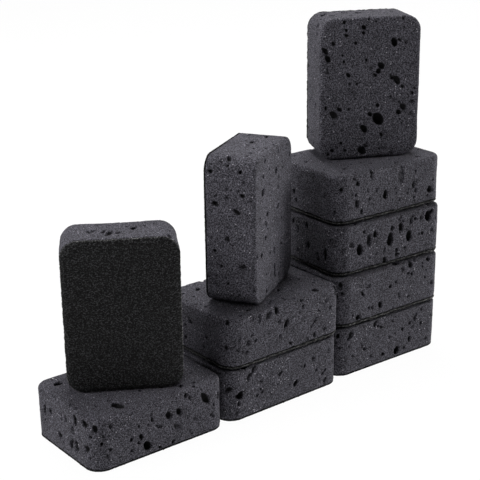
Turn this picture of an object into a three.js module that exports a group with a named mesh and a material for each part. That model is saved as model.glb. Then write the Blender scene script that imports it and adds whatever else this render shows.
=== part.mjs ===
// Set of ten scouring sponges in three stepped stacks: two, three and five high.
// Every sponge is a block of coarse foam with a scour pad bonded under its large face
// by a thin film of hot-melt adhesive. All sizes are in millimetres, +Z is up.
import * as THREE from 'three';

// One sponge, all ten are alike.
const LENGTH = 100;
const WIDTH = 73;
const CORNER_RADIUS = 11;
const PAD_THICKNESS = 3;
const FILM_THICKNESS = 0.3;
const FOAM_THICKNESS = 31.4;
const FOAM_EDGE_ROUNDING = 2;
const LAMINATION_GAP = 0.3;
const FILM_INSET = 2;
const PAD_INSET = 0.3;

const FILM_LEVEL = PAD_THICKNESS + LAMINATION_GAP;
const FOAM_LEVEL = FILM_LEVEL + FILM_THICKNESS + LAMINATION_GAP;
const THICKNESS = FOAM_LEVEL + FOAM_THICKNESS;

// Stacking: each sponge rests on the one below it.
const STACK_GAP = 0.3;
const PITCH = THICKNESS + STACK_GAP;

const CORNER_STEPS = 4;
const EDGE_STEPS = 2;

const FOAM_MATERIAL = new THREE.MeshStandardMaterial({ color: 0x46454b, roughness: 0.95 });
const PAD_MATERIAL = new THREE.MeshStandardMaterial({ color: 0x1b1d1d, roughness: 1.0 });
const FILM_MATERIAL = new THREE.MeshStandardMaterial({ color: 0x8a8780, roughness: 0.6 });

// Where each sponge stands in its stack. x and y are its centre, turn is in degrees.
// A flat sponge lies on its pad; an upright one stands on a short end.
const SPONGES = [
  { name: 'low_base', level: 0, x: -101, y: -0.5, turn: -0.5, upright: false },
  { name: 'low_top', level: 1, x: -102, y: 2, turn: -31.5, upright: true },
  { name: 'middle_base', level: 0, x: 0, y: 0, turn: 0.5, upright: false },
  { name: 'middle_second', level: 1, x: 2.5, y: 1, turn: 0.5, upright: false },
  { name: 'middle_top', level: 2, x: 2.5, y: 3.5, turn: 210.5, upright: true },
  { name: 'tall_base', level: 0, x: 101.4, y: 2.5, turn: -1.5, upright: false },
  { name: 'tall_second', level: 1, x: 103.7, y: 3.7, turn: -1.5, upright: false },
  { name: 'tall_third', level: 2, x: 108.5, y: 8.5, turn: -3.5, upright: false },
  { name: 'tall_fourth', level: 3, x: 111.5, y: 13.3, turn: -2.5, upright: false },
  { name: 'tall_top', level: 4, x: 119, y: 18, turn: 154, upright: true },
];

function roundedOutline(inset) {
  const halfLength = LENGTH / 2 - inset;
  const halfWidth = WIDTH / 2 - inset;
  const radius = CORNER_RADIUS - inset;
  const outline = new THREE.Shape();
  outline.absarc(halfLength - radius, halfWidth - radius, radius, 0, Math.PI / 2);
  outline.absarc(radius - halfLength, halfWidth - radius, radius, Math.PI / 2, Math.PI);
  outline.absarc(radius - halfLength, radius - halfWidth, radius, Math.PI, 1.5 * Math.PI);
  outline.absarc(halfLength - radius, radius - halfWidth, radius, 1.5 * Math.PI, 2 * Math.PI);
  return outline;
}

// A flat slab with the sponge's rounded outline, from the given level upwards.
function slab(name, inset, level, thickness, rounding, material) {
  const geometry = new THREE.ExtrudeGeometry(roundedOutline(inset), {
    depth: thickness - 2 * rounding,
    curveSegments: CORNER_STEPS,
    bevelEnabled: rounding > 0,
    bevelThickness: rounding,
    bevelSize: rounding,
    bevelOffset: -rounding,
    bevelSegments: EDGE_STEPS,
  });
  geometry.translate(0, 0, level + rounding);
  const mesh = new THREE.Mesh(geometry, material);
  mesh.name = name;
  return mesh;
}

// Local frame of a sponge: X along its length, Y across, Z through it, pad at the bottom.
function sponge(name) {
  const body = new THREE.Group();
  body.add(slab(`${name}_pad`, PAD_INSET, 0, PAD_THICKNESS, 0, PAD_MATERIAL));
  body.add(slab(`${name}_film`, FILM_INSET, FILM_LEVEL, FILM_THICKNESS, 0, FILM_MATERIAL));
  body.add(slab(`${name}_foam`, 0, FOAM_LEVEL, FOAM_THICKNESS, FOAM_EDGE_ROUNDING, FOAM_MATERIAL));
  return body;
}

// Stands a sponge on its short end, its width along X and its pad towards -Y.
function standUp(body) {
  const up = new THREE.Vector3(0, 0, 1);
  const across = new THREE.Vector3(1, 0, 0);
  const through = new THREE.Vector3(0, 1, 0);
  body.setRotationFromMatrix(new THREE.Matrix4().makeBasis(up, across, through));
  body.position.set(0, -THICKNESS / 2, LENGTH / 2);
}

const set = new THREE.Group();
set.name = 'scouring_sponge_set';
for (const place of SPONGES) {
  const body = sponge(place.name);
  if (place.upright) {
    standUp(body);
  }
  const holder = new THREE.Group();
  holder.add(body);
  holder.rotation.z = THREE.MathUtils.degToRad(place.turn);
  holder.position.set(place.x, place.y, place.level * PITCH);
  set.add(holder);
}

// The origin is at the centre of the set's footprint, on the table.
set.updateMatrixWorld(true);
const bounds = new THREE.Box3().setFromObject(set, true);
const centre = bounds.getCenter(new THREE.Vector3());
set.position.set(-centre.x, -centre.y, 0);
set.updateMatrixWorld(true);

export default set;
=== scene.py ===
"""Looks for a set of ten charcoal-grey scouring sponges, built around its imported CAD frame.

Each sponge's foam block is carved as a distance field in the sponge's own frame, in
millimetres: X along its length, Y across it, Z through it, with the scour pad at the bottom.
The field is turned into a mesh and set in its CAD place.
"""

import math

import bpy
import numpy as np
from mathutils import Matrix, Vector


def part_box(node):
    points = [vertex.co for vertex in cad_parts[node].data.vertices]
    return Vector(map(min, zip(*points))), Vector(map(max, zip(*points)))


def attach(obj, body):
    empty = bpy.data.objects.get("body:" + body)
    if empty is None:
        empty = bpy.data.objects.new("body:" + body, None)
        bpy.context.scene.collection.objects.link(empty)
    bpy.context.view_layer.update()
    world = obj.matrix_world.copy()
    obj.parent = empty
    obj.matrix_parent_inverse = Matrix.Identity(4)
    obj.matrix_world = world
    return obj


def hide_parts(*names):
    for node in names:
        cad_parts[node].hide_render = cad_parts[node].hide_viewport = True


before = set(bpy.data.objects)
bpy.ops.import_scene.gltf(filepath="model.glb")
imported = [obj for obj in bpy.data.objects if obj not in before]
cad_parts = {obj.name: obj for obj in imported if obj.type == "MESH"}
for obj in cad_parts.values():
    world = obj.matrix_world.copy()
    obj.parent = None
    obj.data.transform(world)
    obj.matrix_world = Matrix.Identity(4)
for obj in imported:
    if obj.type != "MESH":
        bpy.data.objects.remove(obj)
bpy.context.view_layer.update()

MM = 0.001
FOAM_SEED = 100
PAD_SEED = 200

# ---------------------------------------------------------------- sizes of one sponge, in mm
LENGTH = 100.0
WIDTH = 73.0
CORNER_RADIUS = 11.0
FOAM_BOTTOM = 3.9
FOAM_TOP = 35.3
PAD_TOP = 3.0
FOAM_BOTTOM_ROUNDING = 0.8

# The foam's cut edge hangs below its seat on the pad as a thin skirt.
SKIRT = 1.6
SKIRT_CLEARANCE = 0.3

# The pad's rim. Under a low skirt only a lip of it shows. Elsewhere it is a bare band, which
# draws back below into the dark line between two sponges, and above behind the skirt.
PAD_LIP = 1.2
LIP_INSET = 0.1
LIP_GROOVE = SKIRT + 0.4
BAND_BOTTOM = 1.1
BAND_TOP = 2.3
BAND_INSET = 0.05
LOWER_GROOVE = 2.0
UPPER_GROOVE = SKIRT + 0.2

# The grids that the meshes are made on: fine enough for the pores, and under 200,000 faces.
FOAM_STEP = 0.62
PAD_STEP = 0.52

# Layers of noise: how high each one is, in mm, and how many grid steps apart its values are.
BLOCK_RIPPLE = ((0.25, 24), (0.08, 7))
TORN_EDGE = ((0.4, 6), (0.45, 2.4))
FOAM_GRAIN = ((0.07, 3),)
PORE_RIMS = ((0.4, 3.5), (0.3, 1.7))
FRAYED_RIM = ((0.12, 7), (0.3, 2.2))
BAND_EDGE = ((0.35, 9), (0.3, 3))
PAD_ROUGHNESS = ((0.14, 2.2),)
FOAM_SPECKLE = 0.05
PAD_SPECKLE = 0.07
PAD_SETTLING = 0.2
COVERED_TEAR = 0.15
COVERED_FRAY = 0.4

# Random pores: how many to 1000 mm2 of a face, and their least and greatest half width.
MEDIUM_PORES = (3.4, 0.8, 2.1)
SMALL_PORES = (8, 0.45, 1.0)
FACE_AREAS = {"top": 7.3, "front": 3.1, "back": 3.1, "left": 2.3, "right": 2.3}
FACE_MARGIN = 1.5
LEAN_SCATTER = 14
PORE_DEPTHS = (0.6, 1.3)

# How much longer and wider than stated a pore is carved, how deep at least, and how far its
# middle lies below the face.
PORE_GROWTH = (1.05, 1.2)
LEAST_DEPTH = 0.6
PORE_SINK = 0.2

# How each sponge stands: its turn about +Z in degrees, and whether it stands on a short end.
PLACES = {
    "low_base": (-0.5, False),
    "low_top": (-31.5, True),
    "middle_base": (0.5, False),
    "middle_second": (0.5, False),
    "middle_top": (210.5, True),
    "tall_base": (-1.5, False),
    "tall_second": (-1.5, False),
    "tall_third": (-3.5, False),
    "tall_fourth": (-2.5, False),
    "tall_top": (154.0, True),
}

# The height of the foam's lower edge. Where it is lower than PAD_LIP, the cut edge was drawn
# right down over the pad's rim. Elsewhere it is ragged and ends beside the pad's upper side.
FOAM_EDGES = {
    "low_base": 1.1,
    "low_top": 2.8,
    "middle_base": 1.1,
    "middle_second": 2.6,
    "middle_top": 1.1,
    "tall_base": 1.1,
    "tall_second": 2.6,
    "tall_third": 2.6,
    "tall_fourth": 2.6,
    "tall_top": 2.6,
}

# The rounding of the foam's upper edge: sharper where another sponge lies on it.
TOP_ROUNDINGS = {
    "low_base": 2.6,
    "low_top": 2.4,
    "middle_base": 1.2,
    "middle_second": 2.8,
    "middle_top": 2.2,
    "tall_base": 1.0,
    "tall_second": 1.2,
    "tall_third": 1.6,
    "tall_fourth": 2.8,
    "tall_top": 2.4,
}

# How the foam rose in each block: the direction its cells are drawn out in, and how much.
STRETCH = {
    "low_base": ((0.3, 0.1, 1.0), 1.6),
    "low_top": ((1.0, 0.2, 0.2), 1.5),
    "middle_base": ((0.5, 0.0, 1.0), 2.0),
    "middle_second": ((0.5, 0.1, 1.0), 1.8),
    "middle_top": ((1.0, 0.3, 0.5), 1.5),
    "tall_base": ((0.4, 0.0, 1.0), 1.6),
    "tall_second": ((0.2, 0.0, 1.0), 1.3),
    "tall_third": ((0.05, 0.0, 1.0), 2.0),
    "tall_fourth": ((0.05, 0.0, 1.0), 2.0),
    "tall_top": ((0.75, 0.6, 0.1), 1.6),
}

# The larger pores, face by face: where each one is on its face, its half length and half
# width, its lean in degrees from the face's first direction and how deep it is for its width.
# Front and back faces run along X then Z, left and right along Y then Z, the top along X then Y.
PORES = {
    "low_base": {
        "front": [
            (-11.5, 7.5, 3.2, 2.3, 120, 1.3),
            (-16, 15, 1.9, 1.4, 100, 1.0),
            (5, 22.5, 2.8, 1.7, 110, 0.8),
            (13, 22.5, 2.5, 1.5, 120, 1.1),
            (33.5, 25.5, 5.0, 1.9, 122, 0.9),
            (11, 13, 4.0, 1.7, 140, 0.5),
            (-4, 18, 1.8, 1.2, 130, 0.6),
            (-42.5, 24, 2.0, 1.0, 125, 0.7),
            (-40, 9.5, 2.2, 1.0, 110, 0.6),
            (-23, 8, 1.2, 0.9, 90, 0.9),
            (25.5, 13.5, 3.5, 1.4, 130, 0.4),
            (21.5, 5.5, 2.2, 1.0, 120, 0.5),
            (8, 3.5, 1.5, 0.9, 60, 0.8),
            (38, 12, 1.1, 0.9, 90, 0.8),
            (14, 6, 1.0, 0.8, 100, 0.8),
            (19.5, 16.5, 0.9, 0.7, 90, 1.0),
            (-2, 3, 1.0, 0.8, 90, 1.0),
        ],
        "left": [
            (-15.5, 29, 4.0, 1.6, 88, 1.2),
            (-26.5, 31, 2.6, 2.1, 70, 0.9),
            (-33.5, 29.5, 2.7, 1.4, 78, 0.9),
            (-12.5, 21.5, 3.0, 1.2, 62, 0.9),
            (-16.5, 12, 4.0, 1.6, 92, 0.8),
            (-10, 10.5, 2.6, 1.5, 95, 0.9),
            (-27.5, 14.5, 2.8, 1.9, 120, 0.7),
            (4, 10.5, 3.0, 1.4, 85, 0.8),
            (21.5, 23, 2.6, 1.2, 92, 1.0),
            (14.5, 23.5, 2.2, 1.4, 80, 0.8),
            (-4.5, 25.5, 2.5, 1.0, 85, 0.8),
            (-31, 23.5, 1.4, 1.0, 60, 0.9),
            (1.5, 26, 1.3, 0.8, 90, 0.7),
            (-20.5, 20, 1.0, 0.7, 60, 0.8),
        ],
        "top": [
            (-37.5, 24, 3.4, 1.9, 5, 0.9),
            (-25, -25.5, 5.0, 2.8, 102, 1.0),
            (20, -28.5, 1.6, 0.9, 30, 0.9),
            (29, -30, 1.6, 0.7, 10, 0.9),
            (-47, -7, 1.2, 0.8, 60, 0.8),
            (-46.5, -13, 1.4, 0.9, 70, 0.8),
            (-36, -18, 1.1, 0.8, 90, 0.8),
            (10, -22, 1.5, 1.0, 150, 0.9),
        ],
    },
    "low_top": {
        "right": [
            (9.5, 21.5, 2.7, 1.6, 60, 1.3),
            (-5, 14, 3.6, 1.8, 60, 0.7),
            (-0.5, 13.5, 2.2, 1.2, 50, 1.1),
            (-9.5, 15.5, 2.0, 1.0, 70, 1.1),
            (-18, 17.5, 2.8, 1.3, 112, 1.1),
            (-15.5, 19, 1.7, 1.2, 90, 0.8),
            (30.5, 6.5, 2.4, 1.4, 112, 0.9),
            (-12, 29.5, 1.1, 0.9, 90, 0.6),
            (22, 27, 1.0, 0.7, 90, 0.7),
        ],
    },
    "middle_base": {
        "front": [
            (-39.5, 18, 2.8, 1.8, 62, 1.2),
            (-42.5, 17.5, 2.0, 1.0, 70, 0.7),
            (9, 11.5, 2.6, 1.3, 42, 1.1),
            (35.5, 5.5, 2.4, 1.0, 65, 0.9),
            (-32, 28.5, 2.6, 1.0, 70, 0.9),
            (-28, 33, 4.2, 1.1, 52, 0.9),
            (-47, 23, 3.4, 1.2, 30, 0.8),
            (-22, 22.5, 1.7, 0.8, 50, 0.8),
            (-14.5, 12, 1.6, 0.7, 140, 0.6),
            (-4, 24, 0.9, 0.7, 90, 0.8),
            (38.5, 26.5, 1.9, 1.0, 90, 0.5),
            (35.5, 13.5, 1.5, 0.8, 45, 0.7),
            (25, 23, 1.6, 0.7, 45, 0.5),
            (-25, 14, 1.3, 0.7, 45, 0.7),
            (-41, 7, 1.2, 0.9, 60, 0.7),
        ],
    },
    "middle_second": {
        "front": [
            (-9.5, 33, 2.8, 1.5, 75, 1.1),
            (-34.5, 17, 1.9, 1.0, 60, 1.0),
            (-35.5, 11, 1.6, 0.8, 60, 0.8),
            (-1, 21.5, 3.3, 1.1, 60, 1.1),
            (-6.5, 14, 1.3, 1.0, 70, 1.0),
            (-7.5, 24, 1.3, 0.8, 60, 0.9),
            (2.5, 6, 1.7, 0.9, 130, 0.9),
            (23.5, 15.5, 5.0, 0.9, 50, 0.6),
            (27.5, 23, 1.1, 0.9, 90, 0.9),
            (12, 34, 1.6, 0.9, 80, 0.9),
            (-17, 32, 3.2, 1.7, 60, 0.5),
            (-24.5, 32.5, 1.0, 0.8, 90, 0.8),
            (-41, 21, 2.0, 0.8, 60, 0.7),
            (-45, 17, 2.0, 0.7, 30, 0.7),
            (31, 9.5, 1.6, 0.8, 40, 0.7),
            (24, 6, 1.6, 1.0, 60, 0.8),
            (17, 4.8, 1.3, 0.8, 60, 0.8),
            (38, 22, 1.4, 0.8, 60, 0.6),
            (34.5, 28, 1.3, 0.9, 90, 0.6),
        ],
        "left": [
            (4.5, 23, 2.2, 1.3, 60, 0.9),
            (-31, 16, 2.2, 1.1, 80, 0.9),
            (-36, 14, 1.6, 0.8, 60, 0.8),
            (10, 10, 1.4, 0.9, 90, 0.8),
        ],
        "top": [
            (-29, 23, 2.6, 1.5, 30, 0.9),
            (30, -30, 2.8, 1.9, 100, 0.9),
            (-26, -27, 2.6, 1.3, 0, 0.8),
            (11, -14, 2.2, 1.1, 45, 0.9),
            (-4, 20, 1.8, 1.1, 60, 0.8),
            (-46, -30, 1.5, 1.0, 60, 0.8),
            (35, -8, 1.3, 1.0, 60, 0.8),
        ],
    },
    "middle_top": {
        "back": [
            (19, 8, 2.6, 1.3, 112, 0.9),
            (15, 22.5, 2.9, 1.2, 125, 1.0),
            (26, 26.5, 1.9, 1.1, 110, 1.0),
            (-4, 16, 2.6, 1.5, 10, 0.7),
            (-22, 26.5, 3.0, 1.4, 100, 0.7),
            (40.5, 5, 1.9, 1.2, 120, 0.9),
            (47, 11, 1.8, 0.9, 100, 0.9),
            (29.5, 16, 1.7, 0.9, 100, 0.8),
            (24, 16.5, 1.8, 1.0, 30, 0.7),
            (23, 32, 1.6, 0.8, 100, 0.9),
            (-23, 11.5, 1.4, 1.0, 60, 0.9),
            (3.5, 18, 1.3, 0.8, 100, 0.8),
            (-30, 7.5, 1.3, 0.8, 100, 0.8),
            (-15.5, 14, 1.0, 0.6, 90, 0.8),
            (-10.5, 12, 1.0, 0.6, 90, 0.8),
            (-4, 5, 1.1, 0.8, 90, 0.8),
            (-34, 6, 5.2, 0.8, 130, 0.7),
            (35, 28, 1.3, 1.1, 90, 0.6),
        ],
        "top": [
            (25, 21.5, 2.6, 1.8, 150, 0.9),
            (33, -4, 2.4, 1.7, 0, 0.8),
            (8.5, 12.5, 1.4, 1.2, 0, 0.9),
            (7.5, -8, 1.6, 1.4, 0, 0.9),
            (-7, 17, 1.5, 1.3, 0, 0.9),
            (-17, 25, 2.0, 1.6, 40, 0.9),
            (-35, -0.5, 4.2, 1.2, 3, 0.8),
            (-21, 0, 2.6, 1.2, 0, 0.8),
            (3.5, 17.5, 1.4, 1.0, 0, 0.8),
            (45, 17.5, 1.5, 1.2, 0, 0.8),
            (-15, 33, 1.4, 1.1, 0, 0.9),
            (-20, 9, 1.6, 0.9, 0, 0.8),
            (45, -8, 1.6, 1.0, 0, 0.8),
            (-45, 16, 1.6, 1.0, 0, 0.8),
            (-33, 16, 1.3, 0.9, 0, 0.8),
        ],
        "right": [
            (-6, 18, 2.6, 1.5, 10, 0.5),
            (20, 26.5, 2.0, 1.1, 0, 0.9),
            (-24, 9, 1.8, 1.2, 0, 0.9),
            (-23, 22, 2.2, 1.1, 10, 0.8),
            (26, 6.5, 1.6, 0.9, 0, 0.8),
            (31, 16, 2.4, 1.2, 20, 0.9),
        ],
    },
    "tall_base": {
        "front": [
            (7.5, 6, 3.0, 2.1, 60, 1.3),
            (20.5, 11.5, 2.2, 1.2, 72, 1.1),
            (31.5, 21, 1.3, 1.1, 90, 1.0),
            (-37.5, 30.5, 2.8, 1.9, 60, 0.6),
            (-39.5, 27.5, 1.4, 0.9, 60, 1.0),
            (-13.5, 32.5, 2.6, 1.6, 50, 0.7),
            (-24.5, 16, 1.2, 0.9, 90, 0.9),
            (-26.5, 19, 1.3, 0.8, 120, 0.8),
            (-31, 9, 1.6, 0.8, 110, 0.7),
            (0, 18.5, 0.9, 0.7, 90, 0.8),
            (24, 27, 5.0, 0.8, 46, 0.5),
            (37, 7.5, 1.2, 1.0, 90, 0.8),
            (-18, 9, 1.4, 0.7, 100, 0.7),
            (-6.5, 7, 1.0, 0.7, 90, 0.7),
            (-39, 22, 1.0, 0.8, 90, 0.8),
            (12, 10.5, 1.1, 0.8, 90, 0.7),
            (19.5, 16, 1.0, 0.7, 90, 0.7),
        ],
    },
    "tall_second": {
        "front": [
            (-32, 5.5, 1.9, 1.6, 90, 1.1),
            (-29.5, 4, 1.1, 0.8, 130, 0.9),
            (-28, 22.5, 2.5, 1.0, 118, 1.0),
            (-22, 27, 1.4, 0.9, 90, 0.8),
            (-11, 10, 2.7, 1.5, 108, 1.1),
            (-18.5, 9.5, 1.4, 0.9, 90, 0.7),
            (-22, 10.5, 1.1, 0.8, 90, 0.8),
            (-1.5, 21.5, 1.5, 1.2, 70, 1.1),
            (18, 33, 2.3, 1.7, 100, 1.1),
            (19.5, 26, 1.4, 1.1, 90, 1.1),
            (16, 27, 1.1, 0.8, 90, 0.8),
            (35.5, 33.2, 1.7, 1.1, 150, 0.9),
            (40.5, 14, 2.0, 1.1, 90, 0.9),
            (-46.5, 32.5, 2.6, 1.3, 112, 0.9),
            (10, 32, 2.2, 1.0, 110, 0.6),
            (29.5, 29, 1.0, 0.8, 90, 0.7),
            (2, 4, 1.0, 0.7, 60, 0.8),
        ],
    },
    "tall_third": {
        "front": [
            (-29.5, 17, 3.8, 2.1, 90, 1.3),
            (-21, 22.5, 4.4, 1.9, 90, 0.6),
            (-15.5, 26, 2.6, 1.3, 85, 1.1),
            (-37.5, 22.5, 2.4, 1.9, 90, 0.5),
            (-1.5, 19, 4.8, 2.3, 86, 1.0),
            (0, 27, 2.0, 1.2, 80, 1.0),
            (8.5, 26, 3.0, 1.6, 98, 1.1),
            (16.5, 18, 4.0, 2.1, 90, 1.2),
            (18, 29, 2.4, 1.3, 80, 0.8),
            (22, 29.5, 1.4, 1.1, 90, 1.0),
            (34.5, 29, 4.0, 2.3, 98, 1.2),
            (5, 9.5, 1.4, 1.1, 90, 0.9),
            (-6.5, 4.5, 2.4, 1.6, 80, 0.8),
            (-7, 12, 2.6, 0.9, 80, 0.5),
            (38.5, 18, 2.0, 1.4, 90, 0.5),
            (-25.5, 29.5, 1.2, 1.0, 90, 0.9),
            (26, 17, 1.0, 0.8, 90, 0.8),
            (29.5, 17.5, 1.2, 0.9, 90, 0.8),
            (8.5, 33.5, 1.2, 0.9, 90, 0.9),
            (-44, 19, 2.2, 0.9, 80, 0.7),
            (-43, 10, 2.8, 1.0, 90, 0.6),
            (12.5, 10, 0.9, 0.7, 90, 0.8),
        ],
        "left": [
            (-2.5, 30.5, 2.8, 1.4, 82, 1.1),
            (-4, 16.5, 3.0, 1.4, 95, 1.1),
            (-23, 14.5, 5.0, 1.8, 92, 1.1),
            (-28, 26, 1.8, 1.0, 90, 0.8),
            (-15, 9, 1.6, 1.0, 90, 0.8),
            (7, 24, 1.4, 0.9, 90, 0.8),
        ],
    },
    "tall_fourth": {
        "front": [
            (-32, 28.5, 1.7, 1.4, 110, 1.1),
            (-32.5, 14, 2.9, 1.6, 88, 0.7),
            (-6, 15.5, 3.3, 1.7, 84, 1.2),
            (8, 26, 6.2, 2.6, 92, 0.35),
            (22.5, 27.5, 1.4, 0.9, 90, 1.1),
            (20.5, 18, 2.8, 1.1, 90, 0.8),
            (23, 13.5, 1.9, 1.0, 90, 0.8),
            (37, 11.5, 2.6, 2.0, 90, 0.9),
            (7.5, 9, 1.1, 0.7, 20, 0.9),
            (-19, 34, 1.8, 1.4, 50, 1.1),
            (15, 13, 0.9, 0.8, 90, 0.8),
            (-35, 32, 1.3, 0.9, 90, 0.8),
            (35, 7, 1.1, 0.8, 90, 0.8),
            (0.5, 34.5, 1.5, 1.0, 0, 0.9),
            (-15, 20, 1.2, 0.7, 120, 0.7),
            (40, 18, 1.3, 0.9, 90, 0.8),
        ],
        "left": [
            (-22, 20, 2.4, 1.0, 80, 0.9),
            (-34.5, 26, 1.6, 1.2, 60, 1.0),
            (7, 26, 1.6, 1.0, 90, 0.7),
            (11, 15, 2.0, 1.3, 90, 0.9),
            (-12, 12, 1.0, 0.7, 90, 0.8),
        ],
        "top": [
            (-40, 10, 2.0, 1.2, 20, 0.9),
            (-30, -20, 1.6, 1.1, 50, 0.9),
            (-44, -14, 1.4, 1.0, 70, 0.8),
            (-36, 28, 1.5, 1.0, 60, 0.8),
            (8, -31, 2.2, 1.2, 10, 0.9),
            (30, -30, 1.6, 1.0, 0, 0.8),
        ],
    },
    "tall_top": {
        "top": [
            (-22, -6.5, 4.9, 3.0, 42, 1.2),
            (-18.5, -0.5, 2.1, 1.2, 60, 1.1),
            (-28.5, 4, 3.5, 1.8, 42, 1.1),
            (-44.5, 5, 3.6, 2.3, 50, 0.8),
            (-41, 2, 2.0, 0.9, 68, 0.9),
            (-17.5, 26, 4.0, 1.9, 50, 0.7),
            (-24, 25, 1.9, 1.1, 30, 0.5),
            (-13.5, 22, 2.3, 1.1, 56, 1.0),
            (-14.5, -25, 3.2, 1.8, 40, 0.7),
            (-18, -21.5, 2.0, 1.5, 50, 1.0),
            (-19.5, -31, 2.2, 1.0, 50, 0.7),
            (-12, -6, 1.7, 1.2, 45, 0.9),
            (-33.5, -9, 1.9, 1.0, 45, 0.9),
            (-26, -24, 1.3, 0.8, 50, 0.9),
            (5, -19.5, 4.0, 1.9, 36, 0.9),
            (8.5, -15, 1.6, 0.9, 45, 0.9),
            (16, -8, 2.9, 1.8, 50, 0.9),
            (12, -6, 2.0, 1.5, 50, 1.0),
            (9.5, -3.5, 2.0, 1.0, 60, 1.0),
            (14.5, -1, 1.3, 0.8, 60, 1.0),
            (32, -17, 2.9, 2.0, 32, 1.2),
            (33.5, -20.5, 1.6, 1.0, 60, 0.8),
            (32, -26, 2.3, 1.3, 45, 0.5),
            (43, 5.5, 1.9, 1.3, 45, 1.1),
            (38, 17.5, 1.9, 1.0, 60, 1.1),
            (47, 19.5, 1.6, 1.2, 60, 1.0),
            (33, 27, 1.7, 1.3, 60, 0.8),
            (28, 33, 3.2, 1.4, 42, 1.0),
            (22.5, 31, 3.0, 1.6, 40, 1.0),
            (24.5, 20.5, 1.3, 0.8, 60, 0.9),
            (10.5, 16, 1.9, 1.0, 50, 1.1),
            (4, 15, 1.0, 0.8, 50, 0.9),
            (13, 31, 1.5, 1.1, 50, 0.6),
            (8.5, 29, 1.6, 0.8, 30, 0.8),
            (-2.5, 13, 3.0, 1.4, 56, 0.5),
            (-43, 27, 1.7, 1.1, 60, 1.0),
            (-43.5, 17.5, 1.6, 0.9, 70, 1.0),
            (-45.5, 30, 1.3, 0.9, 60, 0.9),
            (48, -23, 1.8, 1.1, 50, 0.9),
            (42, -24, 1.1, 0.8, 50, 0.8),
            (37, -4.5, 0.9, 0.7, 50, 0.8),
            (32.5, 11, 1.3, 0.9, 50, 0.8),
            (4, 9.5, 1.0, 0.8, 50, 0.8),
            (17, -26.5, 1.3, 0.7, 60, 0.8),
            (-1.5, -33, 1.1, 0.7, 50, 0.8),
            (-5.5, -28, 1.1, 0.7, 50, 0.8),
        ],
        "back": [
            (13, 4.5, 2.0, 1.4, 90, 0.8),
            (-12, 23.5, 2.2, 1.5, 100, 1.1),
            (44, 24, 1.8, 1.4, 90, 0.6),
            (38.5, 26.5, 1.4, 1.0, 90, 0.8),
            (-33, 5, 1.2, 1.0, 90, 0.8),
            (-6.5, 15, 1.4, 0.9, 90, 0.5),
        ],
    },
}


# ---------------------------------------------------------------- fields on a grid
def grid_axes(low, high, step):
    """The grid's coordinates along each axis, with two spare steps outside the box."""
    return [
        np.arange(a - 2 * step, b + 3 * step, step, dtype=np.float32)
        for a, b in zip(low, high)
    ]


def spread_matrix(count, coarse, spacing):
    """Smooth interpolation from coarse samples, spacing fine steps apart, to count samples."""
    at = np.arange(count) / spacing
    i = np.minimum(at.astype(int), coarse - 2)
    t = at - i
    t = t * t * (3 - 2 * t)
    m = np.zeros((count, coarse), np.float32)
    m[np.arange(count), i] = 1 - t
    m[np.arange(count), i + 1] = t
    return m


def smooth_noise(rng, shape, spacing):
    """Value noise from -1 to 1 on a grid, with one random value every spacing steps."""
    counts = [int(n / spacing) + 2 for n in shape]
    field = rng.uniform(-1, 1, counts).astype(np.float32)
    for axis, (n, c) in enumerate(zip(shape, counts)):
        field = np.moveaxis(
            np.tensordot(spread_matrix(n, c, spacing), field, axes=(1, axis)), 0, axis
        )
    return field


def layered_noise(rng, shape, layers, base=0.0):
    """The sum of layers of value noise, on top of a base value."""
    total = base
    for height, spacing in layers:
        total = total + height * smooth_noise(rng, shape, spacing)
    return total


def speckle(rng, shape, height):
    return rng.normal(0, height, shape).astype(np.float32)


def rise(values, start, length):
    """From 0 at the start to 1 a length further on."""
    return np.clip((values - start) / length, 0, 1)


def rounded_corner(a, b, radius):
    """Distance to the corner where the half-spaces a < 0 and b < 0 meet, rounded."""
    u, v = a + radius, b + radius
    inside = np.minimum(np.maximum(u, v), 0)
    return inside + np.hypot(np.maximum(u, 0), np.maximum(v, 0)) - radius


def outline_distance(x, y, length, width, radius):
    """Distance to a rectangle with round corners, negative inside."""
    u = np.abs(x) - (length / 2 - radius)
    v = np.abs(y) - (width / 2 - radius)
    return (
        np.hypot(np.maximum(u, 0), np.maximum(v, 0))
        + np.minimum(np.maximum(u, v), 0)
        - radius
    )


def carve(field, axes, centre, half_sizes, turn, wobble):
    """Cuts an ellipsoid pore out of the field, only in the part of the grid round the pore.
    turn's columns are the pore's own axes."""
    reach = max(half_sizes) * 1.3 + 1.0
    spans = []
    for values, c in zip(axes, centre):
        first, last = np.searchsorted(values, (c - reach, c + reach))
        if last - first < 2:
            return
        spans.append(slice(first, last))
    offsets = [values[s] - c for values, s, c in zip(axes, spans, centre)]
    p = np.stack(np.meshgrid(*offsets, indexing="ij"), -1) @ turn.astype(np.float32)
    sizes = np.array(half_sizes, np.float32)
    k0 = np.linalg.norm(p / sizes, axis=-1)
    k1 = np.linalg.norm(p / sizes**2, axis=-1) + 1e-6
    distance = k0 * (k0 - 1) / k1
    here = tuple(spans)
    field[here] = np.maximum(field[here], -(distance + wobble[here]))


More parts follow.
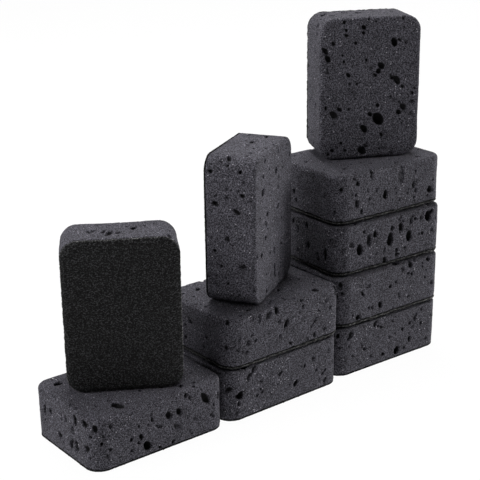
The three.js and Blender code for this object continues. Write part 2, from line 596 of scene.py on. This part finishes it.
def surface_net(field, axes):
    """The surface where the field crosses zero, as points and quads: one point in each grid
    cell that it passes through."""
    inside = field < 0
    shape = np.array(field.shape) - 1
    count = np.zeros(shape, np.uint8)
    corners = [(i, j, k) for i in (0, 1) for j in (0, 1) for k in (0, 1)]
    for i, j, k in corners:
        count += inside[i : i + shape[0], j : j + shape[1], k : k + shape[2]]
    cells = np.argwhere((count > 0) & (count < 8))
    index = np.full(shape, -1, np.int64)
    index[tuple(cells.T)] = np.arange(len(cells))
    value = {c: field[tuple((cells + c).T)] for c in corners}
    total = np.zeros((len(cells), 3))
    hits = np.zeros(len(cells))
    for a in corners:
        for axis in range(3):
            if a[axis]:
                continue
            b = tuple(1 if n == axis else a[n] for n in range(3))
            crossed = (value[a] < 0) != (value[b] < 0)
            share = np.where(crossed, value[a] / (value[a] - value[b] + 1e-12), 0)
            point = np.tile(np.array(a, float), (len(cells), 1))
            point[:, axis] = share
            total += point * crossed[:, None]
            hits += crossed
    local = cells + total / hits[:, None]
    start = np.array([values[0] for values in axes])
    step = axes[0][1] - axes[0][0]
    points = start + local * step
    quads = []
    for axis in range(3):
        u, v = (axis + 1) % 3, (axis + 2) % 3
        near = [slice(None)] * 3
        far = [slice(None)] * 3
        near[axis], far[axis] = slice(0, -1), slice(1, None)
        crossing = inside[tuple(near)] != inside[tuple(far)]
        edges = np.argwhere(crossing)
        edges = edges[(edges[:, u] > 0) & (edges[:, v] > 0)]
        du, dv = np.eye(3, dtype=int)[u], np.eye(3, dtype=int)[v]
        ring = [edges - du - dv, edges - dv, edges, edges - du]
        quad = np.stack([index[tuple(r.T)] for r in ring], 1)
        outward = inside[tuple(edges.T)]
        quad[~outward] = quad[~outward][:, ::-1]
        quads.append(quad)
    return points, np.concatenate(quads)


# ---------------------------------------------------------------- meshes
def sponge_turn(name):
    """The sponge's rotation: its own axes as columns, in the row frame."""
    degrees, upright = PLACES[name]
    a = math.radians(degrees)
    along = np.array([math.cos(a), math.sin(a), 0.0])
    back = np.array([-math.sin(a), math.cos(a), 0.0])
    up = np.array([0.0, 0.0, 1.0])
    if upright:
        return np.stack([up, along, back], 1)
    return np.stack([along, back, up], 1)


def mesh_object(name, node, points, quads, middle, attributes):
    """A mesh from points in the sponge's frame, set where its CAD node is."""
    low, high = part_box(node)
    centre = (np.array(low) + np.array(high)) / 2
    sponge = node.rsplit("_", 1)[0]
    placed = (points - np.array(middle)) * MM @ sponge_turn(sponge).T + centre
    mesh = bpy.data.meshes.new(name)
    mesh.vertices.add(len(placed))
    mesh.vertices.foreach_set("co", placed.astype(np.float32).ravel())
    mesh.loops.add(quads.size)
    mesh.loops.foreach_set("vertex_index", quads.astype(np.int32).ravel())
    mesh.polygons.add(len(quads))
    mesh.polygons.foreach_set("loop_start", np.arange(0, quads.size, 4, dtype=np.int32))
    mesh.update(calc_edges=True)
    mesh.polygons.foreach_set("use_smooth", np.ones(len(quads), bool))
    for key, values in attributes.items():
        layer = mesh.attributes.new(key, "FLOAT", "POINT")
        layer.data.foreach_set("value", values.astype(np.float32))
    piece = bpy.data.objects.new(name, mesh)
    bpy.context.scene.collection.objects.link(piece)
    return piece


def foam_base(z, side, edge, rounding):
    """The block without its pores. Its cut edge may hang down below its seat on the pad."""
    top = rounded_corner(side, z - FOAM_TOP, rounding)
    bottom = rounded_corner(side, edge - z, FOAM_BOTTOM_ROUNDING)
    seat = np.maximum(side + SKIRT, z - FOAM_BOTTOM)
    return np.maximum(np.maximum(top, bottom), -seat)


def face_point(face, u, v):
    """A point on one of the block's faces, with the face's two directions and its normal
    there. The upright corners are round, so a point near one is moved back onto it."""
    if face == "top":
        return (u, v, FOAM_TOP), (1, 0, 0), (0, 1, 0), (0, 0, 1)
    half = LENGTH / 2 if face in ("front", "back") else WIDTH / 2
    other = WIDTH / 2 if face in ("front", "back") else LENGTH / 2
    over = min(max(abs(u) - (half - CORNER_RADIUS), 0), CORNER_RADIUS * 0.95)
    rise = math.sqrt(CORNER_RADIUS**2 - over**2)
    out = other - CORNER_RADIUS + rise
    lean = math.copysign(over / CORNER_RADIUS, u)
    side = 1 if face in ("back", "right") else -1
    if face in ("front", "back"):
        normal = (lean, side * rise / CORNER_RADIUS, 0)
        return (u, side * out, v), (rise / CORNER_RADIUS, -side * lean, 0), (0, 0, 1), normal
    normal = (side * rise / CORNER_RADIUS, lean, 0)
    return (side * out, u, v), (-side * lean, rise / CORNER_RADIUS, 0), (0, 0, 1), normal


def carve_pore(field, axes, wobble, face, pore):
    """One pore, as listed in PORES, on one of the block's faces."""
    u, v, long, short, lean, deep = pore
    at, along, across, normal = (np.array(value, float) for value in face_point(face, u, v))
    a = math.radians(lean)
    first = along * math.cos(a) + across * math.sin(a)
    second = across * math.cos(a) - along * math.sin(a)
    depth = max(2 * short * deep**1.6, LEAST_DEPTH)
    halves = (PORE_GROWTH[0] * long, PORE_GROWTH[1] * short, depth)
    turn = np.stack([first, second, normal], 1)
    carve(field, axes, at - normal * PORE_SINK, halves, turn, wobble)


def random_pore(rng, name, face, low, high):
    """A pore of random size somewhere on a face, drawn out the way the foam rose."""
    half = LENGTH / 2 if face in ("top", "front", "back") else WIDTH / 2
    u = rng.uniform(FACE_MARGIN - half, half - FACE_MARGIN)
    if face == "top":
        v = rng.uniform(FACE_MARGIN - WIDTH / 2, WIDTH / 2 - FACE_MARGIN)
    else:
        v = rng.uniform(FOAM_BOTTOM + FACE_MARGIN, FOAM_TOP - 1)
    direction, aspect = STRETCH[name]
    _, along, across, _ = face_point(face, u, v)
    p, q = np.dot(direction, along), np.dot(direction, across)
    drawn = 1 + (aspect - 1) * min(math.hypot(p, q), 1)
    short = low + (high - low) * rng.random() ** 2
    lean = math.degrees(math.atan2(q, p)) + rng.normal(0, LEAN_SCATTER)
    return u, v, short * drawn, short, lean, rng.uniform(*PORE_DEPTHS)


def carve_pores(name, rng, field, axes, wobble):
    """The listed pores, medium ones where a face has no list, and small ones everywhere."""
    listed = PORES.get(name, {})
    for face, area in FACE_AREAS.items():
        for pore in listed.get(face, ()):
            carve_pore(field, axes, wobble, face, pore)
        kinds = [SMALL_PORES] if face in listed else [MEDIUM_PORES, SMALL_PORES]
        for density, low, high in kinds:
            for _ in range(round(density * area)):
                carve_pore(field, axes, wobble, face, random_pore(rng, name, face, low, high))


def foam_block(name, seed):
    """The foam: a rounded block with a torn lower edge, its pores carved out."""
    rng = np.random.default_rng(seed)
    edge = FOAM_EDGES[name]
    low = (-LENGTH / 2, -WIDTH / 2, edge)
    high = (LENGTH / 2, WIDTH / 2, FOAM_TOP)
    axes = grid_axes(low, high, FOAM_STEP)
    shape = tuple(len(values) for values in axes)
    x, y, z = np.meshgrid(*axes, indexing="ij", sparse=True)
    ripple = layered_noise(rng, shape, BLOCK_RIPPLE)
    side = outline_distance(x, y, LENGTH, WIDTH, CORNER_RADIUS) + ripple
    torn = layered_noise(rng, shape, TORN_EDGE)
    torn *= COVERED_TEAR if edge < PAD_LIP else 1.0
    field = foam_base(z, side, edge + SKIRT_CLEARANCE + torn, TOP_ROUNDINGS[name])
    field += layered_noise(rng, shape, FOAM_GRAIN)
    field += speckle(rng, shape, FOAM_SPECKLE)
    wobble = layered_noise(rng, shape, PORE_RIMS)
    carve_pores(name, rng, field, axes, wobble)
    points, quads = surface_net(field, axes)
    side = outline_distance(points[:, 0], points[:, 1], LENGTH, WIDTH, CORNER_RADIUS)
    # How far below the block's outer faces each point lies: the foam material paints shade into
    # the pores from it.
    depth = -np.maximum(side, points[:, 2] - FOAM_TOP)
    middle = (0, 0, (FOAM_BOTTOM + FOAM_TOP) / 2)
    node = f"{name}_foam"
    return mesh_object(f"{name}_foam_block", node, points, quads, middle, {"depth": depth})


def scour_pad(name, seed):
    """The pad: a rough slab whose frayed rim draws back above and, where it is bare, below."""
    rng = np.random.default_rng(seed)
    low = (-LENGTH / 2, -WIDTH / 2, 0)
    high = (LENGTH / 2, WIDTH / 2, PAD_TOP)
    axes = grid_axes(low, high, PAD_STEP)
    shape = tuple(len(values) for values in axes)
    x, y, z = np.meshgrid(*axes, indexing="ij", sparse=True)
    frayed = layered_noise(rng, shape, FRAYED_RIM)
    bottom = layered_noise(rng, shape, BAND_EDGE, BAND_BOTTOM)
    covered = FOAM_EDGES[name] < PAD_LIP
    if covered:
        frayed *= COVERED_FRAY
        drawn = LIP_INSET + LIP_GROOVE * rise(z, PAD_LIP, 0.4)
    else:
        drawn = BAND_INSET + LOWER_GROOVE * rise(bottom - z, 0, 0.5)
        drawn += UPPER_GROOVE * rise(z, BAND_TOP, 0.4)
    side = outline_distance(x, y, LENGTH, WIDTH, CORNER_RADIUS) + drawn + frayed
    rough = layered_noise(rng, shape, PAD_ROUGHNESS, PAD_SETTLING)
    rough += speckle(rng, shape, PAD_SPECKLE)
    field = np.maximum(side, np.maximum(z - PAD_TOP, -z) + rough)
    points, quads = surface_net(field, axes)
    # How far in from the outline each point lies. The pad material keeps the inset grooves black
    # by it, as painted shade for the dark lines between sponges.
    inside = -outline_distance(points[:, 0], points[:, 1], LENGTH, WIDTH, CORNER_RADIUS)
    # Under a low skirt the lip counts as one mm further in, so it stays black all round: painted
    # shade for the dark line under the foam.
    inside += 1.0 if covered else 0.0
    middle = (0, 0, PAD_TOP / 2)
    node = f"{name}_pad"
    return mesh_object(f"{name}_scour_pad", node, points, quads, middle, {"inside": inside})


# ---------------------------------------------------------------- materials
# Sizes of the grain, in features to the metre.
WALL_NOISE = 1450
CELLS = 1150
GLINTS = 620
FOAM_PATCHES = 90
FIBRES = 1300
FILM_BLOTCHES = 350
FIBRE_TURNS = (12, 71, 134)
GRAIN_HEIGHT = 0.0004


def new_material(name):
    material = bpy.data.materials.new(name)
    material.use_nodes = True
    tree = material.node_tree
    shader = tree.nodes["Principled BSDF"]
    return material, tree, shader


def add_node(tree, kind, **settings):
    node = tree.nodes.new(kind)
    for key, value in settings.items():
        setattr(node, key, value)
    return node


def noise_texture(tree, coordinates, scale, detail, roughness=0.5):
    node = add_node(tree, "ShaderNodeTexNoise")
    node.inputs["Scale"].default_value = scale
    node.inputs["Detail"].default_value = detail
    node.inputs["Roughness"].default_value = roughness
    tree.links.new(coordinates, node.inputs["Vector"])
    return node.outputs["Fac"]


def ramp(tree, value, stops):
    node = add_node(tree, "ShaderNodeValToRGB")
    elements = node.color_ramp.elements
    while len(elements) < len(stops):
        elements.new(0.5)
    for element, (position, colour) in zip(elements, stops):
        element.position = position
        element.color = (*colour, 1)
    tree.links.new(value, node.inputs["Fac"])
    return node.outputs["Color"]


def mix_colours(tree, kind, factor, a, b):
    node = add_node(tree, "ShaderNodeMix", data_type="RGBA", blend_type=kind)
    if isinstance(factor, float):
        node.inputs["Factor"].default_value = factor
    else:
        tree.links.new(factor, node.inputs["Factor"])
    tree.links.new(a, node.inputs["A"])
    if isinstance(b, tuple):
        node.inputs["B"].default_value = (*b, 1)
    else:
        tree.links.new(b, node.inputs["B"])
    return node.outputs["Result"]


def map_range(tree, value, low, high, to_low=0.0, to_high=1.0):
    node = add_node(tree, "ShaderNodeMapRange", interpolation_type="SMOOTHSTEP")
    node.inputs["From Min"].default_value = low
    node.inputs["From Max"].default_value = high
    node.inputs["To Min"].default_value = to_low
    node.inputs["To Max"].default_value = to_high
    tree.links.new(value, node.inputs["Value"])
    return node.outputs["Result"]


def math_node(tree, operation, a, b):
    node = add_node(tree, "ShaderNodeMath", operation=operation)
    tree.links.new(a, node.inputs[0])
    tree.links.new(b, node.inputs[1])
    return node.outputs["Value"]


def scaled(tree, value, factor):
    node = add_node(tree, "ShaderNodeMath", operation="MULTIPLY")
    tree.links.new(value, node.inputs[0])
    node.inputs[1].default_value = factor
    return node.outputs["Value"]


def matte_surface(tree, shader, colour, height, bump_strength, roughness):
    """A rough, hardly shiny surface with its grain as bump."""
    tree.links.new(colour, shader.inputs["Base Color"])
    bump = add_node(tree, "ShaderNodeBump")
    bump.inputs["Strength"].default_value = bump_strength
    bump.inputs["Distance"].default_value = GRAIN_HEIGHT
    tree.links.new(height, bump.inputs["Height"])
    tree.links.new(bump.outputs["Normal"], shader.inputs["Normal"])
    shader.inputs["Roughness"].default_value = roughness
    shader.inputs["Specular IOR Level"].default_value = 0.15


def cell_structure(tree, place):
    """Open cells: from 0 in the middle of a cell to 1 on its walls, uneven in size."""
    uneven = noise_texture(tree, place, WALL_NOISE, 2.0, 0.7)
    cells = add_node(tree, "ShaderNodeTexVoronoi", feature="F1")
    cells.inputs["Scale"].default_value = CELLS
    tree.links.new(place, cells.inputs["Vector"])
    walls = map_range(tree, cells.outputs["Distance"], 0.15, 0.75)
    return math_node(tree, "ADD", scaled(tree, walls, 0.22), uneven)


def glint_mask(tree, place):
    """Sparse bright points where a cell wall catches the light."""
    points = add_node(tree, "ShaderNodeTexVoronoi", feature="F1")
    points.inputs["Scale"].default_value = GLINTS
    tree.links.new(place, points.inputs["Vector"])
    spot = map_range(tree, points.outputs["Distance"], 0.12, 0.32, 1.0, 0.0)
    chance = map_range(tree, points.outputs["Color"], 0.76, 0.88)
    return math_node(tree, "MULTIPLY", spot, chance)


def foam_material():
    """Open-celled foam: dark cells, lighter walls and glints, and painted shade inside the
    pores, darker the deeper they go.
    """
    material, tree, shader = new_material("charcoal_foam")
    place = add_node(tree, "ShaderNodeTexCoord").outputs["Object"]
    cells = cell_structure(tree, place)
    colour = ramp(
        tree,
        cells,
        [
            (0.45, (0.0035, 0.0035, 0.004)),
            (0.62, (0.0385, 0.0372, 0.0455)),
            (0.8, (0.12, 0.115, 0.138)),
        ],
    )
    colour = mix_colours(tree, "MIX", glint_mask(tree, place), colour, (0.4, 0.39, 0.43))
    patches = noise_texture(tree, place, FOAM_PATCHES, 2.0)
    tone = ramp(tree, patches, [(0.3, (0.82, 0.82, 0.82)), (0.7, (1.0, 1.0, 1.0))])
    colour = mix_colours(tree, "MULTIPLY", 1.0, colour, tone)
    depth = add_node(tree, "ShaderNodeAttribute", attribute_name="depth").outputs["Fac"]
    # Painted shade: the deeper a point lies below the outer faces, the nearer its colour is
    # drawn to black, as the shade inside the pores.
    painted_pore_shade = map_range(tree, depth, 0.45, 1.8, 0.0, 0.93)
    colour = mix_colours(tree, "MIX", painted_pore_shade, colour, (0.002, 0.002, 0.0022))
    matte_surface(tree, shader, colour, cells, 0.8, 0.85)
    return material


def fibre_mat(tree, place):
    """Fine fibres laid in three directions, the highest one showing."""
    layers = []
    for degrees in FIBRE_TURNS:
        mapping = add_node(tree, "ShaderNodeMapping")
        mapping.inputs["Rotation"].default_value = (0.6, 0.9, math.radians(degrees))
        mapping.inputs["Scale"].default_value = (0.25, 1.4, 1.0)
        tree.links.new(place, mapping.inputs["Vector"])
        layers.append(noise_texture(tree, mapping.outputs["Vector"], FIBRES, 1.5, 0.6))
    top = math_node(tree, "MAXIMUM", layers[0], layers[1])
    return math_node(tree, "MAXIMUM", top, layers[2])


def pad_material():
    """Black fibre mat, lighter where its cut rim shows the fibres' ends; further in, and so in
    the grooves, it stays black, which paints the shade of the dark lines between sponges.
    """
    material, tree, shader = new_material("black_scour_fibre")
    place = add_node(tree, "ShaderNodeTexCoord").outputs["Object"]
    fibres = fibre_mat(tree, place)
    colour = ramp(
        tree,
        fibres,
        [
            (0.5, (0.0006, 0.0006, 0.0006)),
            (0.6, (0.0075, 0.0075, 0.0075)),
            (0.7, (0.048, 0.048, 0.051)),
        ],
    )
    cut = ramp(
        tree,
        fibres,
        [
            (0.5, (0.004, 0.004, 0.0038)),
            (0.6, (0.038, 0.038, 0.038)),
            (0.7, (0.15, 0.15, 0.148)),
        ],
    )
    inside = add_node(tree, "ShaderNodeAttribute", attribute_name="inside").outputs["Fac"]
    # 1 on the outer band, which takes the lighter cut colour; 0 further in, so the inset grooves
    # stay black as painted shade for the dark lines between sponges.
    cut_rim_else_groove_shade = map_range(tree, inside, 0.1, 0.9, 1.0, 0.0)
    colour = mix_colours(tree, "MIX", cut_rim_else_groove_shade, colour, cut)
    matte_surface(tree, shader, colour, fibres, 0.9, 0.8)
    return material


def film_material():
    """The adhesive between foam and pad, which hardly shows."""
    material, tree, shader = new_material("adhesive_film")
    place = add_node(tree, "ShaderNodeTexCoord").outputs["Object"]
    blotches = noise_texture(tree, place, FILM_BLOTCHES, 3.0)
    colour = ramp(tree, blotches, [(0.3, (0.004, 0.004, 0.004)), (0.7, (0.012, 0.012, 0.011))])
    tree.links.new(colour, shader.inputs["Base Color"])
    shader.inputs["Roughness"].default_value = 0.5
    return material


# ---------------------------------------------------------------- stage
FLOOR_HALF = 40.0
FLOOR_GLOW = 0.97
LIGHTS_AIM = Vector((0, 0, 0.1))

# Each softbox: azimuth, elevation, distance, side and power. Azimuth 0 is the -Y side and 90
# the -X side.
SOFTBOXES = {
    "back_softbox": (216, 60, 1.6, 0.9, 26),
    "right_softbox": (288, 10, 3.2, 1.8, 122),
    "left_softbox": (106, 35, 1.6, 0.9, 22),
    "overhead": (0, 90, 1.6, 0.9, 7),
}

# The brightness of the studio by how high one looks, as the height of a unit vector.
BACKDROP = ((0.0, 0.97), (0.06, 0.5), (0.2, 0.12), (0.5, 0.01))

CAMERA_PLACE = (-0.4887, -0.6042, 0.3764)
CAMERA_HEADING = 38.47
CAMERA_PITCH = 19.36
CAMERA_ROLL = -0.75
CAMERA_LENS = 91.45


def floor():
    """A pale floor that glows evenly, so that the set stands on white."""
    mesh = bpy.data.meshes.new("floor")
    half = FLOOR_HALF
    corners = [(-half, -half, 0), (half, -half, 0), (half, half, 0), (-half, half, 0)]
    mesh.from_pydata(corners, [], [(0, 1, 2, 3)])
    piece = bpy.data.objects.new("floor", mesh)
    bpy.context.scene.collection.objects.link(piece)
    material, tree, shader = new_material("pale_floor")
    shader.inputs["Base Color"].default_value = (0.03, 0.03, 0.03, 1)
    shader.inputs["Roughness"].default_value = 1.0
    shader.inputs["Specular IOR Level"].default_value = 0.0
    shader.inputs["Emission Color"].default_value = (1, 1, 1, 1)
    shader.inputs["Emission Strength"].default_value = FLOOR_GLOW
    mesh.materials.append(material)


def softboxes():
    for name, (azimuth, elevation, distance, side, power) in SOFTBOXES.items():
        a, e = math.radians(azimuth), math.radians(elevation)
        way = Vector((-math.sin(a) * math.cos(e), -math.cos(a) * math.cos(e), math.sin(e)))
        light = bpy.data.lights.new(name, "AREA")
        light.shape = "RECTANGLE"
        light.size = light.size_y = side
        light.energy = power
        lamp = bpy.data.objects.new(name, light)
        lamp.location = LIGHTS_AIM + way * distance
        lamp.rotation_euler = way.to_track_quat("Z", "Y").to_euler()
        bpy.context.scene.collection.objects.link(lamp)


def backdrop():
    """The studio round the floor: pale at the horizon, dim above."""
    world = bpy.data.worlds.new("studio")
    world.use_nodes = True
    tree = world.node_tree
    direction = add_node(tree, "ShaderNodeTexCoord").outputs["Generated"]
    parts = add_node(tree, "ShaderNodeSeparateXYZ")
    tree.links.new(direction, parts.inputs["Vector"])
    sky = ramp(tree, parts.outputs["Z"], [(height, (grey,) * 3) for height, grey in BACKDROP])
    tree.links.new(sky, tree.nodes["Background"].inputs["Color"])
    bpy.context.scene.world = world


def camera():
    """The camera looks down at the set from its front left corner, slightly rolled."""
    heading, pitch = math.radians(CAMERA_HEADING), math.radians(CAMERA_PITCH)
    roll = math.radians(CAMERA_ROLL)
    forward = Vector(
        (
            math.sin(heading) * math.cos(pitch),
            math.cos(heading) * math.cos(pitch),
            -math.sin(pitch),
        )
    )
    level = forward.cross(Vector((0, 0, 1))).normalized()
    upward = level.cross(forward)
    right = level * math.cos(roll) + upward * math.sin(roll)
    top = upward * math.cos(roll) - level * math.sin(roll)
    data = bpy.data.cameras.new("camera")
    data.sensor_width = 36.0
    data.lens = CAMERA_LENS
    eye = bpy.data.objects.new("camera", data)
    axes = Matrix((right, top, -forward)).transposed().to_4x4()
    eye.matrix_world = Matrix.Translation(CAMERA_PLACE) @ axes
    bpy.context.scene.collection.objects.link(eye)
    bpy.context.scene.camera = eye


# ---------------------------------------------------------------- the set
def build():
    """Every sponge: its foam block and pad in place of the CAD solids, and its film's look."""
    foam, pad, film = foam_material(), pad_material(), film_material()
    for number, name in enumerate(PLACES):
        block = foam_block(name, FOAM_SEED + number)
        block.data.materials.append(foam)
        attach(block, name)
        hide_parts(f"{name}_foam")
        scour = scour_pad(name, PAD_SEED + number)
        scour.data.materials.append(pad)
        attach(scour, name)
        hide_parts(f"{name}_pad")
        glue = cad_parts[f"{name}_film"]
        glue.data.materials.clear()
        glue.data.materials.append(film)


bpy.context.scene.view_settings.view_transform = "Standard"
camera()
softboxes()
backdrop()
floor()
build()
